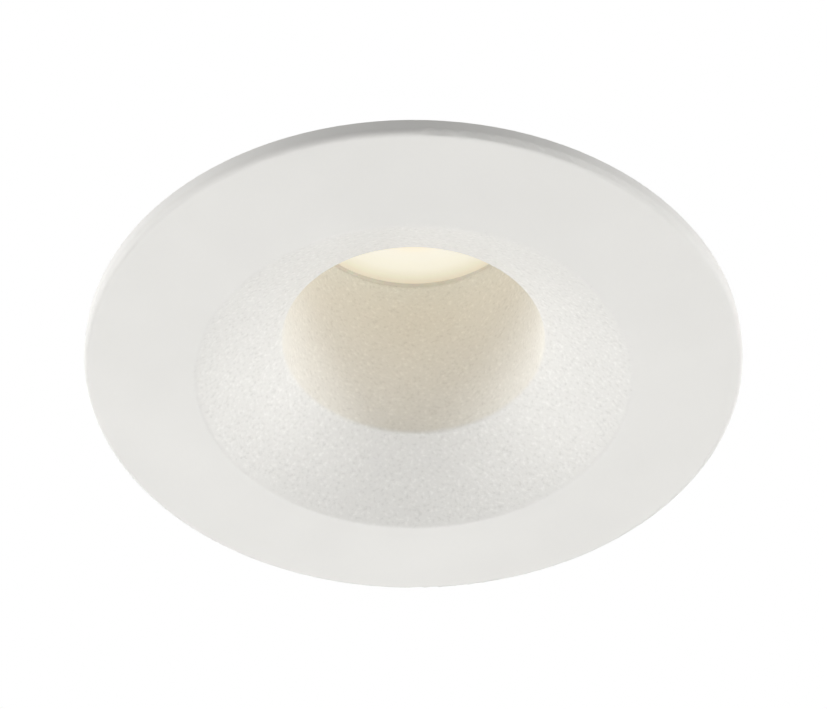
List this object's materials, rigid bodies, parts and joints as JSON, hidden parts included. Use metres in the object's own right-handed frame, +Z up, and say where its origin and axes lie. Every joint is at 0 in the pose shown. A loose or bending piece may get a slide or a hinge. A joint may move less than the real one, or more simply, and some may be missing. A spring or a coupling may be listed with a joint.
{
  "type": "recessed downlight",
  "caption": "Round recessed ceiling light: white textured flange, bevelled cone, deep well with a frosted lit lens, finned heat sink, cable gland and sprung hinged clips.",
  "frame": {"origin": "on the light's axis, in the plane where the gasket meets the ceiling", "axes": "+Z up into the ceiling void, against the beam; +X through the right clip; +Y completes the frame, and the picture looks along +Y from below"},
  "size_m": [0.0926, 0.07, 0.0799],
  "materials": {
    "textured_white": "fine textured powder coat, off-white",
    "black_foam": "closed-cell foam, matte",
    "clear_silicone": "translucent silicone, satin",
    "frosted_lens": "frosted, lit warm white from behind",
    "reflector_white": "moulded white, satin",
    "holder_plastic": "moulded off-white, matte",
    "board_plate": "bare plate, satin",
    "phosphor": "yellow phosphor gel, satin",
    "pad_grey": "soft thermal pad, matte",
    "sink_aluminium": "die-cast, lightly blasted",
    "screw_steel": "stainless, satin",
    "pin_steel": "stainless, satin",
    "spring_steel": "drawn spring wire, bright",
    "bracket_zinc": "zinc-plated sheet, satin",
    "arm_zinc": "zinc-plated sheet, satin",
    "gland_nylon": "moulded black nylon, satin",
    "gland_rubber": "moulded rubber, matte"
  },
  "bodies": {
    "housing": {"trim_bezel": "textured_white", "ceiling_gasket": "black_foam", "lens_seal": "clear_silicone", "lens": "frosted_lens", "reflector": "reflector_white", "led_holder": "holder_plastic", "led_board": "board_plate", "led_emitter": "phosphor", "led_screws": "screw_steel", "thermal_pad": "pad_grey", "body_seal": "clear_silicone", "heat_sink": "sink_aluminium", "body_screws": "screw_steel", "gland_washer": "gland_rubber", "gland_body": "gland_nylon", "gland_seal": "gland_rubber", "gland_nut": "gland_nylon", "clip_screws": "screw_steel", "right_clip_bracket": "bracket_zinc", "left_clip_bracket": "bracket_zinc", "right_clip_pin": "pin_steel", "left_clip_pin": "pin_steel", "right_clip_spring": "spring_steel", "left_clip_spring": "spring_steel"},
    "right_arm": {"right_clip_arm": "arm_zinc"},
    "left_arm": {"left_clip_arm": "arm_zinc"}
  },
  "joints": [
    {"name": "right_clip_hinge", "type": "hinge", "parent": "housing", "child": "right_arm", "pos_m": [0.02115, 0, 0.014], "axis": [0, -1, 0], "range_deg": [0, 100], "stiffness_Nm_per_rad": 0.09, "springref_deg": -68.75, "deforming": ["right_clip_spring"]},
    {"name": "left_clip_hinge", "type": "hinge", "parent": "housing", "child": "left_arm", "pos_m": [-0.02115, 0, 0.014], "axis": [0, 1, 0], "range_deg": [0, 100], "stiffness_Nm_per_rad": 0.09, "springref_deg": -68.75, "deforming": ["left_clip_spring"]}
  ]
}
